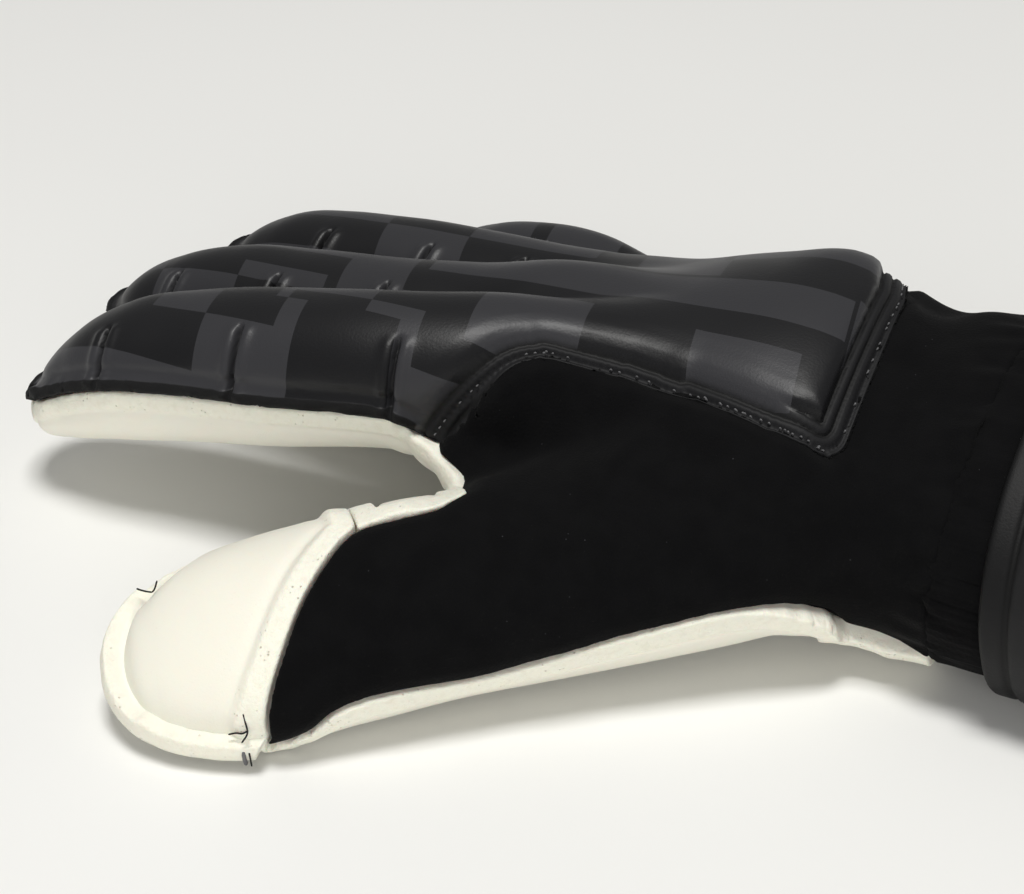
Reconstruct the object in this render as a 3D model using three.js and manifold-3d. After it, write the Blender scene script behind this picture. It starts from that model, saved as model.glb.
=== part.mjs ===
// A soccer goalkeeper glove for the right hand, lying palm down, in millimetres.
// +X runs from the fingertips to the wrist, -Y is the thumb side, +Z is the back of the hand.
import * as THREE from "three";
import { mergeVertices } from "three/addons/utils/BufferGeometryUtils.js";
import Module from "manifold-3d";

const wasm = await Module();
wasm.setup();

// Wall thicknesses and the gap left between neighbouring pieces
const foamWall = 5;
const fabricWall = 3;
const cuffWall = 2.4;
const strapWall = 3;
const gap = 0.3;

// Stations along the wrist
const palmEnd = 107;
const strapStart = 118;
const strapEnd = 158;

// Facets of the loft sections, how square a section is (2 is an ellipse), and the least half size
// of a section that is kept when a loft is shrunk
const fingerSides = 16;
const handSides = 28;
const squareness = 2.2;
const smallestSection = 2;

// How far the hollows run on past the open end of the wrist
const pastEnd = 20;

// Limits well outside the glove, for the blocks that it is cut with
const reach = 200;
const lowest = -60;
const highest = 150;

// The seam surface: how far past a section's edges its tilt runs on, how much less a section
// counts beyond its edges, and how softly the nearest sections take over from each other
const seamOverrun = 0.15;
const seamSideCost = 4;
const seamSoftness = 16;

// The glove is modelled round the knuckles and then moved to stand over the origin
const knucklesToOrigin = [-34.25, 35.6, 0];

// Each row is a section of a digit or of the hand: its centre, half its width, its height above
// and below the centre, its roll in degrees (positive lifts the thumb side) and the height of the
// seam between palm and back at its thumb-side edge and at its other edge.
const columns = ["x", "y", "z", "half", "top", "bottom", "roll", "seamNear", "seamFar"];
const digits = {
  index: [
    [52, -27, 36, 11, 13, 10, 8, -6, -6],
    [36, -31, 37.5, 15, 16.5, 13, 8, -4, -4],
    [16, -39, 38.6, 17, 17.6, 15, 6, -3, -3],
    [-6, -46.5, 39.4, 15.4, 15.6, 14.6, 4, -2, -2],
    [-28.5, -50, 36, 15.6, 15.8, 15, 2, -0.5, -0.5],
    [-52, -53, 31.5, 15.2, 15.2, 14.4, 2, 1.6, 0.5],
    [-67, -55.6, 27.6, 14.4, 13.8, 12.4, 2, 3, 1],
    [-78, -57, 22.6, 12.2, 11.2, 9.4, 2, 3.4, 1.5],
    [-85.5, -58.2, 18.6, 9, 7, 6, 2, 2.4, 1.5],
    [-89.5, -58.8, 16.4, 3.5, 2.6, 2.5, 2, 1, 1],
  ],
  middle: [
    [48, -11, 33, 11, 13, 10, 8, -6, -6],
    [32, -11, 33, 15, 16.5, 13, 10, -4, -4],
    [14, -12, 33.6, 17, 17.6, 15, 12, -3, -3],
    [-10, -14, 30.6, 15.6, 15.8, 15, 8, -2, -2],
    [-30, -15, 28.2, 15.6, 15.4, 15, 4, -1, -1],
    [-50, -16, 26.2, 15.4, 15, 14.4, 2, 0, 0],
    [-66, -17, 24, 15, 14.6, 13.4, 0, 0.5, 0.5],
    [-81, -18, 21, 13.4, 12.8, 10.6, 0, 1, 1],
    [-92, -18.4, 18.6, 9.8, 8.4, 6.6, 0, 1, 1],
    [-97.5, -18.5, 18, 3.5, 2.8, 2.5, 0, 1, 1],
  ],
  ring: [
    [32, 13, 25, 13, 15, 12, 12, -4, -4],
    [14, 15, 24.5, 16, 16, 15, 14, -3, -3],
    [-8, 16, 24, 15.2, 15.2, 14.6, 10, -2, -2],
    [-28, 17, 22.6, 15.2, 15.2, 14.4, 6, -1, -1],
    [-46, 18, 21, 15, 14.8, 14, 4, 0, 0],
    [-62, 18.5, 19.6, 14.6, 14.2, 13, 2, 0.5, 0.5],
    [-77, 19.3, 18, 12.8, 11.6, 10.6, 0, 1, 1],
    [-86, 19.8, 16.8, 9, 7.2, 6.6, 0, 1, 1],
    [-91, 20, 16.4, 3.5, 2.6, 2.4, 0, 1, 1],
  ],
  little: [
    [38, 27, 19, 9, 10, 8, 12, -3, -1],
    [22, 34, 16, 13, 13, 12, 12, -3, -1],
    [4, 40.5, 14.8, 13.8, 13, 14.8, 8, -2, -1],
    [-10, 43.5, 15.4, 13.8, 14, 16, 4, -1, -1],
    [-24, 45, 15, 13.4, 13.6, 15.8, 2, 0, 0],
    [-37, 46.5, 13.2, 12.2, 11.8, 14, 0, 0.5, 0.5],
    [-47, 48, 10.6, 9.4, 8.6, 10.9, 0, 1, 1],
    [-53, 49, 9, 3.5, 2.8, 3, 0, 1, 1],
  ],
  thumb: [
    [92, -24, 26, 12, 12, 12, -20, -1.5, -6],
    [80, -34, 25.6, 19, 16, 17.5, -24, 0.5, -4],
    [66, -46, 24.5, 21.5, 18, 18.6, -28, 8.5, 2],
    [46, -64, 21.4, 20.5, 17.5, 17, -32, 7.5, 11],
    [28, -81, 19.4, 20, 16.5, 15.4, -33, 5, 15.5],
    [13, -96, 17.2, 19.5, 15, 14.2, -33, 5.5, 3],
    [1, -107, 15, 20, 13, 12.9, -32, 2.5, -1],
    [-9, -114, 13.2, 18, 10.4, 11.4, -30, 3, 1.5],
    [-16, -118.4, 11.6, 14, 7.4, 9.4, -28, 2.5, 2.5],
    [-21, -121, 10.2, 8.5, 4.4, 6, -26, 1.5, 1.5],
    [-23.5, -122, 9.8, 3, 2, 2, -26, 0.5, 0.5],
  ],
  web: [
    [48, -57, 30, 14, 12, 12, 0, 3, 3],
    [37, -60, 29.5, 12, 10, 10, 0, 2, 2],
    [28, -62, 29, 9, 7, 8, 0, 1, 1],
    [18, -59.5, 29.6, 6.5, 5, 6.5, 0, 1, 1],
    [10, -56.5, 30.6, 4.5, 4, 4.5, 0, 1, 1],
    [4, -54, 31.4, 3, 2.6, 2.6, 0, 1, 1],
  ],
};
const handRows = [
  [-9, -1, 24, 50, 6, 6, 14, -2, -1],
  [2, -1, 25, 53, 12, 11, 14, -3, -2],
  [14, -1, 26.5, 53, 17, 15, 14, -4, -2],
  [30, -4, 27.5, 50, 22, 17, 12, -6, 0],
  [50, -7, 28, 46, 26.4, 18, 5, -9, 0],
  [68, -10, 29, 43.4, 29.8, 19.5, -5, -7, 0],
  [78, -12, 29.4, 41, 28.8, 20.6, -10, -8.5, 0],
  [87, -13, 29.2, 39, 19, 23, -15, -13.5, -1],
  [106, -14.5, 28.6, 38, 23, 24.8, -18, -14.5, -2],
  [124, -14.5, 28.6, 38, 24.4, 24.5, -19, -15, -2],
  [166, -14.5, 28.6, 38, 24.4, 24.5, -19, -15, -2],
];

// The back panel's outline on the hand, seen from above, past the glove on its far side
const panelOutline = [
  [-130, -78], [2, -66], [7, -61], [16, -56], [23, -46.6], [36, -42.4], [52, -40.8], [69, -42.4],
  [77, -42.4], [84.4, -41], [83.6, -29], [82.2, -13], [79.9, 4], [72, 30], [66, 90], [-130, 90],
];

// The outline of the cap over the end of the thumb, seen from above
const capOutline = [
  [-4, -72], [7.8, -88], [9.6, -104], [11, -122], [7, -142], [-160, -142], [-160, -110],
];

const colours = {
  latex: { color: 0xe9e6da, roughness: 0.55, metalness: 0 },
  panel: { color: 0x2c2c2e, roughness: 0.5, metalness: 0 },
  fabric: { color: 0x131313, roughness: 0.95, metalness: 0 },
  elastic: { color: 0x171717, roughness: 0.9, metalness: 0 },
  strap: { color: 0x222224, roughness: 0.6, metalness: 0 },
};

function named(row) {
  return Object.fromEntries(columns.map((column, k) => [column, row[k]]));
}

// The axes of a section: across it towards the thumb side, and up through it
function sectionAxes(rows, k, straight) {
  const at = (i) => new THREE.Vector3(rows[i].x, rows[i].y, rows[i].z);
  const last = rows.length - 1;
  const along = straight
    ? new THREE.Vector3(-1, 0, 0)
    : at(Math.min(k + 1, last)).sub(at(Math.max(k - 1, 0))).normalize();
  const across = new THREE.Vector3(0, 0, 1).cross(along).normalize();
  const upward = along.clone().cross(across);
  const roll = THREE.MathUtils.degToRad(rows[k].roll);
  return {
    across: across.clone().multiplyScalar(Math.cos(roll)).addScaledVector(upward, Math.sin(roll)),
    upward: upward.clone().multiplyScalar(Math.cos(roll)).addScaledVector(across, -Math.sin(roll)),
  };
}

function powered(value) {
  return Math.sign(value) * Math.abs(value) ** (2 / squareness);
}

// A closed tube through the sections, grown or shrunk by one distance all round
function loft(table, { grow = 0, sides = fingerSides, straight = false, extend = 0 }) {
  const all = table.map(named);
  const smallest = (s) => Math.min(s.top, s.bottom, s.half) + grow;
  const kept = all.map((s, k) => k).filter((k) => smallest(all[k]) > smallestSection);
  const points = [];
  const indices = [];
  for (const k of kept) {
    const s = all[k];
    const { across, upward } = sectionAxes(all, k, straight);
    const centre = new THREE.Vector3(s.x, s.y, s.z);
    if (k === all.length - 1) centre.x += extend;
    for (let i = 0; i < sides; i += 1) {
      const turn = (2 * Math.PI * i) / sides;
      const height = Math.sin(turn) > 0 ? s.top : s.bottom;
      const point = centre.clone()
        .addScaledVector(across, powered(Math.cos(turn)) * (s.half + grow))
        .addScaledVector(upward, powered(Math.sin(turn)) * (height + grow));
      points.push(...point.toArray());
    }
  }
  for (let j = 0; j < kept.length - 1; j += 1) {
    for (let i = 0; i < sides; i += 1) {
      const a = j * sides + i;
      const b = j * sides + ((i + 1) % sides);
      indices.push(a, b, b + sides, a, b + sides, a + sides);
    }
  }
  for (const [j, flip] of [[0, true], [kept.length - 1, false]]) {
    for (let i = 1; i < sides - 1; i += 1) {
      const fan = [j * sides, j * sides + i, j * sides + i + 1];
      indices.push(...(flip ? fan.reverse() : fan));
    }
  }
  return closedSolid(points, indices);
}

function closedSolid(points, indices) {
  const geometry = new THREE.BufferGeometry();
  geometry.setAttribute("position", new THREE.Float32BufferAttribute(points, 3));
  geometry.setIndex(indices);
  return toSolid(geometry);
}

function toSolid(geometry) {
  const bare = geometry.clone();
  bare.deleteAttribute("normal");
  bare.deleteAttribute("uv");
  const merged = mergeVertices(bare, 1e-4);
  const vertProperties = new Float32Array(merged.attributes.position.array);
  let triVerts = new Uint32Array(merged.index.array);
  const solid = new wasm.Manifold(new wasm.Mesh({ numProp: 3, vertProperties, triVerts }));
  if (solid.volume() > 0) return solid;
  triVerts = triVerts.reverse();
  return new wasm.Manifold(new wasm.Mesh({ numProp: 3, vertProperties, triVerts }));
}

function union(solids) {
  return solids.reduce((sum, solid) => sum.add(solid));
}

// The seam surface's height over a point: every section tilts its own plane through its two seam
// edges, and the nearest sections count the most
const seamPlanes = [...Object.values(digits).map((rows) => [rows, false]), [handRows, true]]
  .flatMap(([table, straight]) => {
    const rows = table.map(named);
    return rows.map((s, k) => {
      const { across, upward } = sectionAxes(rows, k, straight);
      const centre = new THREE.Vector3(s.x, s.y, s.z);
      const near = centre.clone().addScaledVector(across, s.half).addScaledVector(upward, s.seamNear);
      const far = centre.clone().addScaledVector(across, -s.half).addScaledVector(upward, s.seamFar);
      const span = Math.hypot(near.x - far.x, near.y - far.y);
      return { near, far, span };
    });
  });

function seamHeight(x, y) {
  let sum = 0;
  let weights = 0;
  for (const plane of seamPlanes) {
    const ux = (plane.near.x - plane.far.x) / plane.span;
    const uy = (plane.near.y - plane.far.y) / plane.span;
    const across = (x - plane.far.x) * ux + (y - plane.far.y) * uy;
    const along = -(x - plane.far.x) * uy + (y - plane.far.y) * ux;
    const share = THREE.MathUtils.clamp(across / plane.span, -seamOverrun, 1 + seamOverrun);
    const off = Math.max(0, across - plane.span, -across);
    const weight = 1 / (along * along + seamSideCost * off * off + seamSoftness) ** 2;
    sum += weight * THREE.MathUtils.lerp(plane.far.z, plane.near.z, share);
    weights += weight;
  }
  return sum / weights;
}

// Everything above or below the seam surface, as a block over a grid of points
function seamBlock({ above, shift, step = 6 }) {
  const limits = { x: [-120, 180], y: [-150, 84] };
  const flat = above ? highest : lowest;
  const nx = Math.round((limits.x[1] - limits.x[0]) / step);
  const ny = Math.round((limits.y[1] - limits.y[0]) / step);
  const points = [];
  const indices = [];
  for (const layer of ["seam", "flat"]) {
    for (let i = 0; i <= nx; i += 1) {
      for (let j = 0; j <= ny; j += 1) {
        const x = limits.x[0] + i * step;
        const y = limits.y[0] + j * step;
        points.push(x, y, layer === "seam" ? seamHeight(x, y) + shift : flat);
      }
    }
  }
  const size = (nx + 1) * (ny + 1);
  const at = (i, j, layer) => layer * size + i * (ny + 1) + j;
  const quad = (a, b, c, d) => indices.push(a, b, c, a, c, d);
  for (let i = 0; i < nx; i += 1) {
    for (let j = 0; j < ny; j += 1) {
      quad(at(i, j, 0), at(i + 1, j, 0), at(i + 1, j + 1, 0), at(i, j + 1, 0));
      quad(at(i, j, 1), at(i, j + 1, 1), at(i + 1, j + 1, 1), at(i + 1, j, 1));
    }
  }
  for (let i = 0; i < nx; i += 1) {
    quad(at(i, 0, 0), at(i, 0, 1), at(i + 1, 0, 1), at(i + 1, 0, 0));
    quad(at(i + 1, ny, 0), at(i + 1, ny, 1), at(i, ny, 1), at(i, ny, 0));
  }
  for (let j = 0; j < ny; j += 1) {
    quad(at(0, j + 1, 0), at(0, j + 1, 1), at(0, j, 1), at(0, j, 0));
    quad(at(nx, j, 0), at(nx, j, 1), at(nx, j + 1, 1), at(nx, j + 1, 0));
  }
  return closedSolid(points, indices);
}

// An upright prism over an outline drawn from above
function prism(outline) {
  const shape = new THREE.Shape(outline.map(([x, y]) => new THREE.Vector2(x, y)));
  const geometry = new THREE.ExtrudeGeometry(shape, { depth: highest - lowest, bevelEnabled: false });
  geometry.translate(0, 0, lowest);
  return toSolid(geometry);
}

function box([x0, y0, z0], [x1, y1, z1]) {
  const geometry = new THREE.BoxGeometry(x1 - x0, y1 - y0, z1 - z0);
  geometry.translate((x0 + x1) / 2, (y0 + y1) / 2, (z0 + z1) / 2);
  return toSolid(geometry);
}

// The part of space between two stations along X, above the surface that the glove lies on
function between(x0, x1) {
  return box([x0, -reach, 0], [x1, reach, highest]);
}

function glove(grow, extend) {
  const fingers = Object.values(digits).map((rows) => loft(rows, { grow }));
  return union([...fingers, loft(handRows, { grow, sides: handSides, straight: true, extend })]);
}

function sleeve(grow, extend) {
  return loft(handRows, { grow, sides: handSides, straight: true, extend });
}

function largest(solid) {
  const bodies = solid.decompose();
  bodies.sort((a, b) => b.volume() - a.volume());
  return bodies[0];
}

const whole = glove(0, 0);
const foamShell = whole.subtract(glove(-foamWall, pastEnd));
const fabricShell = whole.subtract(glove(-fabricWall, pastEnd));
const palmSide = seamBlock({ above: false, shift: -gap / 2 });
const backSide = seamBlock({ above: true, shift: gap / 2 });
const panelArea = prism(panelOutline);
const panelAreaWithGap = prism(panelOutline.map(([x, y]) => [x + (x > 0 ? gap : 0), y - (y < 0 ? gap : 0)]));
const capArea = prism(capOutline.map(([x, y]) => [x - gap / 2, y]));
const capAreaWithGap = prism(capOutline.map(([x, y]) => [x + gap / 2, y]));

const pieces = {
  palm_latex: () => foamShell.intersect(palmSide).intersect(between(-reach, palmEnd)),
  backhand_panel: () => foamShell.intersect(backSide).intersect(panelArea),
  thumb_cap: () => foamShell.intersect(backSide).subtract(panelAreaWithGap).intersect(capArea),
  body_fabric: () => fabricShell.intersect(backSide).subtract(panelAreaWithGap)
    .subtract(capAreaWithGap).intersect(between(-reach, palmEnd)),
  wrist_cuff: () => sleeve(0, 0).subtract(sleeve(-cuffWall, pastEnd))
    .intersect(between(palmEnd + gap, reach)),
  wrist_strap: () => sleeve(gap + strapWall, pastEnd).subtract(sleeve(gap, 2 * pastEnd))
    .intersect(between(strapStart, strapEnd)),
};
const finishes = {
  palm_latex: "latex",
  backhand_panel: "panel",
  thumb_cap: "latex",
  body_fabric: "fabric",
  wrist_cuff: "elastic",
  wrist_strap: "strap",
};

function toMesh(name, solid) {
  const { vertProperties, triVerts } = solid.getMesh();
  const geometry = new THREE.BufferGeometry();
  geometry.setAttribute("position", new THREE.BufferAttribute(vertProperties, 3));
  geometry.setIndex(new THREE.BufferAttribute(triVerts, 1));
  geometry.computeVertexNormals();
  const mesh = new THREE.Mesh(geometry, new THREE.MeshStandardMaterial(colours[finishes[name]]));
  mesh.name = name;
  return mesh;
}

const part = new THREE.Group();
for (const [name, make] of Object.entries(pieces)) {
  part.add(toMesh(name, largest(make())));
}
part.position.set(...knucklesToOrigin);

export default part;
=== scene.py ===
import math
import bpy
import numpy as np
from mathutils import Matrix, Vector


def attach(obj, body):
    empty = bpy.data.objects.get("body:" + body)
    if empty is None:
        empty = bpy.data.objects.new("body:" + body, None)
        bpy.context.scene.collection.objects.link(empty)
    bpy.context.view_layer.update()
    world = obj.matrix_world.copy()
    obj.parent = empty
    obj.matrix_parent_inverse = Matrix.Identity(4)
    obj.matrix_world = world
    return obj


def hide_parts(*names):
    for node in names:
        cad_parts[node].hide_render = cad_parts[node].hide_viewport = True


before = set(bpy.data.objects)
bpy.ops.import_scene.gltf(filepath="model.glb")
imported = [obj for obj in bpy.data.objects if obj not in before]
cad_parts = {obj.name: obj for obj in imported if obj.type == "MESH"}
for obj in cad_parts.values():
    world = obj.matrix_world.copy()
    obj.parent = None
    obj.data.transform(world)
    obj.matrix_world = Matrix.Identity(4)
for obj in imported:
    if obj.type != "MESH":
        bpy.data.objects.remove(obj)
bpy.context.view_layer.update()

# The glove is worked out in millimetres round its knuckles, and moved to the frame's origin last
knucklesToOrigin = np.array([-34.25, 35.6, 0.0])
metre = 0.001
rng = np.random.default_rng(7)

# Sections of the digits and the hand: centre, half width, height above and below it, roll in
# degrees, and where the seam between palm and back lies at the thumb-side edge and the other one
sectionColumns = ("x", "y", "z", "half", "top", "bottom", "roll", "seamNear", "seamFar")
sections = {
    "index": [
        (52, -27, 36, 11, 13, 10, 8, -6, -6),
        (36, -31, 37.5, 15, 16.5, 13, 8, -4, -4),
        (16, -39, 38.6, 17, 17.6, 15, 6, -3, -3),
        (-6, -46.5, 39.4, 15.4, 15.6, 14.6, 4, -2, -2),
        (-28.5, -50, 36, 15.6, 15.8, 15, 2, -0.5, -0.5),
        (-52, -53, 31.5, 15.2, 15.2, 14.4, 2, 1.6, 0.5),
        (-67, -55.6, 27.6, 14.4, 13.8, 12.4, 2, 3, 1),
        (-78, -57, 22.6, 12.2, 11.2, 9.4, 2, 3.4, 1.5),
        (-85.5, -58.2, 18.6, 9, 7, 6, 2, 2.4, 1.5),
        (-89.5, -58.8, 16.4, 3.5, 2.6, 2.5, 2, 1, 1),
    ],
    "middle": [
        (48, -11, 33, 11, 13, 10, 8, -6, -6),
        (32, -11, 33, 15, 16.5, 13, 10, -4, -4),
        (14, -12, 33.6, 17, 17.6, 15, 12, -3, -3),
        (-10, -14, 30.6, 15.6, 15.8, 15, 8, -2, -2),
        (-30, -15, 28.2, 15.6, 15.4, 15, 4, -1, -1),
        (-50, -16, 26.2, 15.4, 15, 14.4, 2, 0, 0),
        (-66, -17, 24, 15, 14.6, 13.4, 0, 0.5, 0.5),
        (-81, -18, 21, 13.4, 12.8, 10.6, 0, 1, 1),
        (-92, -18.4, 18.6, 9.8, 8.4, 6.6, 0, 1, 1),
        (-97.5, -18.5, 18, 3.5, 2.8, 2.5, 0, 1, 1),
    ],
    "ring": [
        (32, 13, 25, 13, 15, 12, 12, -4, -4),
        (14, 15, 24.5, 16, 16, 15, 14, -3, -3),
        (-8, 16, 24, 15.2, 15.2, 14.6, 10, -2, -2),
        (-28, 17, 22.6, 15.2, 15.2, 14.4, 6, -1, -1),
        (-46, 18, 21, 15, 14.8, 14, 4, 0, 0),
        (-62, 18.5, 19.6, 14.6, 14.2, 13, 2, 0.5, 0.5),
        (-77, 19.3, 18, 12.8, 11.6, 10.6, 0, 1, 1),
        (-86, 19.8, 16.8, 9, 7.2, 6.6, 0, 1, 1),
        (-91, 20, 16.4, 3.5, 2.6, 2.4, 0, 1, 1),
    ],
    "little": [
        (38, 27, 19, 9, 10, 8, 12, -3, -1),
        (22, 34, 16, 13, 13, 12, 12, -3, -1),
        (4, 40.5, 14.8, 13.8, 13, 14.8, 8, -2, -1),
        (-10, 43.5, 15.4, 13.8, 14, 16, 4, -1, -1),
        (-24, 45, 15, 13.4, 13.6, 15.8, 2, 0, 0),
        (-37, 46.5, 13.2, 12.2, 11.8, 14, 0, 0.5, 0.5),
        (-47, 48, 10.6, 9.4, 8.6, 10.9, 0, 1, 1),
        (-53, 49, 9, 3.5, 2.8, 3, 0, 1, 1),
    ],
    "thumb": [
        (106, -16, 27, 6, 6, 6, -18, -4, -6),
        (92, -24, 26, 12, 12, 12, -20, -7, -6),
        (80, -34, 25.6, 19, 16, 17.5, -24, -2, -4),
        (66, -46, 24.5, 21.5, 18, 18.6, -28, 6.6, 2),
        (46, -64, 21.4, 20.5, 17.5, 17, -32, 7.5, 2),
        (28, -81, 19.4, 20, 16.5, 15.4, -33, 5, -1),
        (13, -96, 17.2, 19.5, 15, 14.2, -33, 6.6, -3),
        (1, -107, 15, 20, 13, 12.9, -32, 3.6, -5),
        (-9, -114, 13.2, 18, 10.4, 11.4, -30, 3, 1),
        (-16, -118.4, 11.6, 14.2, 7.6, 9.4, -28, 2.5, 2.5),
        (-20.2, -120.7, 10.6, 10, 5.2, 6.6, -26, 2, 1.5),
        (-22.2, -121.8, 10, 6, 3.2, 3.8, -26, 1, 1),
    ],
    "web": [
        (48, -57, 30, 14, 12, 12, 0, 2, 2),
        (37, -60, 29.5, 11.4, 9, 10, 0, 1, 1),
        (28, -61.4, 29, 7.6, 6, 8, 0, 1, 1),
        (18, -59.5, 29.6, 6.5, 5, 6.5, 0, 3, 1),
        (10, -56.5, 30.6, 4.5, 4, 4.5, 0, 2.4, 1),
        (4, -54, 31.4, 3, 2.6, 2.6, 0, 2.2, 1),
    ],
    "hand": [
        (166, -14.5, 28.6, 38, 24.4, 24.5, -19, -15, -2),
        (124, -14.5, 28.6, 38, 24.4, 24.5, -19, -15, -2),
        (106, -14.5, 28.6, 38, 24.4, 24.8, -18, -9, -2),
        (96, -13.7, 28.8, 38, 23, 24, -17, -7.5, -1.5),
        (87, -13, 29.2, 39, 20.8, 23, -13, -10.5, -1),
        (78, -12, 29.4, 41, 27, 20.6, -5.5, -8.5, 0),
        (68, -10, 29, 43.4, 29.4, 19.5, -3, -7, 0),
        (50, -7, 28, 46, 27.8, 18, 5, -9, 0),
        (30, -4, 27.5, 50, 22, 17, 12, -6, 0),
        (14, -1, 26.5, 53, 17, 15, 14, -4, -2),
        (2, -1, 25, 53, 12, 11, 14, -3, -2),
        (-9, -1, 24, 50, 6, 6, 14, -2, -1),
    ],
}
shapeSettings = {
    "squareness": 2.2,     # 2 is an ellipse, more is squarer
    "knuckleBlend": 7.0,   # how softly the fingers run into the hand
    "thumbBlend": 10.0,    # and so on for the thumb, the web and the fingers
    "webBlend": 4.5,
    "fingerBlend": 1.5,
    "tipClosing": 1.0,     # how far past its last section a tip closes
}


def smoothMin(a, b, size):
    h = np.clip(0.5 + 0.5 * (b - a) / size, 0, 1)
    return b + (a - b) * h - size * h * (1 - h)


def smoothMax(a, b, size):
    return -smoothMin(-a, -b, size)


def smoothStep(low, high, value):
    t = np.clip((value - low) / (high - low), 0, 1)
    return t * t * (3 - 2 * t)


def hermite(knots, values, at):
    slopes = np.gradient(values, knots)
    k = np.clip(np.searchsorted(knots, at) - 1, 0, len(knots) - 2)
    width = knots[k + 1] - knots[k]
    t = (at - knots[k]) / width
    a, b = values[k], values[k + 1]
    ma, mb = slopes[k] * width, slopes[k + 1] * width
    blend = 3 * t**2 - 2 * t**3
    return (1 - blend) * a + blend * b + (t**3 - 2 * t**2 + t) * ma + (t**3 - t**2) * mb


class Digit:
    # A padded tube whose sections vary smoothly along one direction seen from above
    def __init__(self, rows, straight=False):
        columns = {name: np.array([row[k] for row in rows], float) for k, name in enumerate(sectionColumns)}
        run = np.array([columns["x"][-1] - columns["x"][0], columns["y"][-1] - columns["y"][0]])
        if straight:
            run = np.array([-1.0, 0.0])
        self.heading = run / np.hypot(*run)
        self.side = np.array([-self.heading[1], self.heading[0]])
        reach = columns["x"] * self.heading[0] + columns["y"] * self.heading[1]
        across = columns["x"] * self.side[0] + columns["y"] * self.side[1]
        closing = shapeSettings["tipClosing"]
        knots = np.append(reach, reach[-1] + closing)
        self.at = np.linspace(knots[0], knots[-1], 240)
        rise = np.gradient(columns["z"], reach) if not straight else np.zeros(len(reach))
        steep = np.sqrt(1 + np.clip(rise, -0.6, 0.6) ** 2)
        source = {"across": across, "z": columns["z"], "half": columns["half"], "top": columns["top"] * steep,
                  "bottom": columns["bottom"] * steep, "roll": np.radians(columns["roll"]),
                  "seamNear": columns["seamNear"], "seamFar": columns["seamFar"]}
        self.fine = {}
        for name, values in source.items():
            last = 0.5 * values[-1] if name in ("half", "top", "bottom") and not straight else values[-1]
            fine = hermite(knots, np.append(values, last), self.at)
            if straight:
                # The hand's wide sections run into each other more softly than a finger's
                spread = np.exp(-np.linspace(-2, 2, 13) ** 2)
                fine = np.convolve(np.pad(fine, 6, mode="edge"), spread / spread.sum(), mode="valid")
            self.fine[name] = fine

    def local(self, x, y, z):
        t = x * self.heading[0] + y * self.heading[1]
        s = x * self.side[0] + y * self.side[1]
        read = lambda name: np.interp(t, self.at, self.fine[name])
        roll = read("roll")
        c, n = np.cos(roll), np.sin(roll)
        ds, dz = s - read("across"), z - read("z")
        return t, ds * c + dz * n, dz * c - ds * n, read

    def field(self, x, y, z):
        t, u, v, read = self.local(x, y, z)
        half = np.maximum(read("half"), 0.3)
        height = np.maximum(np.where(v > 0, read("top"), read("bottom")), 0.3)
        power = shapeSettings["squareness"]
        k = (np.abs(u / half) ** power + np.abs(v / height) ** power) ** (1 / power)
        r = np.hypot(u, v)
        f = np.where(k > 1e-4, r - r / np.maximum(k, 1e-4), -np.minimum(half, height))
        return smoothMax(smoothMax(f, t - self.at[-1], 1.2), self.at[0] - t, 1.2)


digits = {name: Digit(rows, straight=name == "hand") for name, rows in sections.items()}
hand, thumb = digits["hand"], digits["thumb"]
fingers = [digits[name] for name in ("index", "middle", "ring", "little")]


# Small dents in the whole shape: the middle, its size and its depth
dents = [(19, -73, 38, 7, 1.6)]


def gloveField(x, y, z):
    together = None
    for finger in fingers:
        f = finger.field(x, y, z)
        together = f if together is None else smoothMin(together, f, shapeSettings["fingerBlend"])
    palm = smoothMin(hand.field(x, y, z), thumb.field(x, y, z), shapeSettings["thumbBlend"])
    palm = smoothMin(palm, digits["web"].field(x, y, z), shapeSettings["webBlend"])
    whole = smoothMin(together, palm, shapeSettings["knuckleBlend"])
    for dx, dy, dz, size, depth in dents:
        apart = (x - dx) ** 2 + (y - dy) ** 2 + (z - dz) ** 2
        whole = whole + depth * np.exp(-apart / size**2)
    return whole


# Flat maps seen from above, read by linear interpolation
class PlanMap:
    def __init__(self, low, step, values):
        self.low, self.step, self.values = low, step, values

    def __call__(self, x, y):
        gx = np.clip((x - self.low[0]) / self.step, 0, self.values.shape[0] - 1.001)
        gy = np.clip((y - self.low[1]) / self.step, 0, self.values.shape[1] - 1.001)
        i, j = gx.astype(int), gy.astype(int)
        a, b = gx - i, gy - j
        v = self.values
        return (v[i, j] * (1 - a) * (1 - b) + v[i + 1, j] * a * (1 - b)
                + v[i, j + 1] * (1 - a) * b + v[i + 1, j + 1] * a * b)


def planGrid(step):
    low = (-110.0, -140.0)
    x = np.arange(low[0], 181, step)
    y = np.arange(low[1], 76, step)
    return low, x[:, None], y[None, :]


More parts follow.
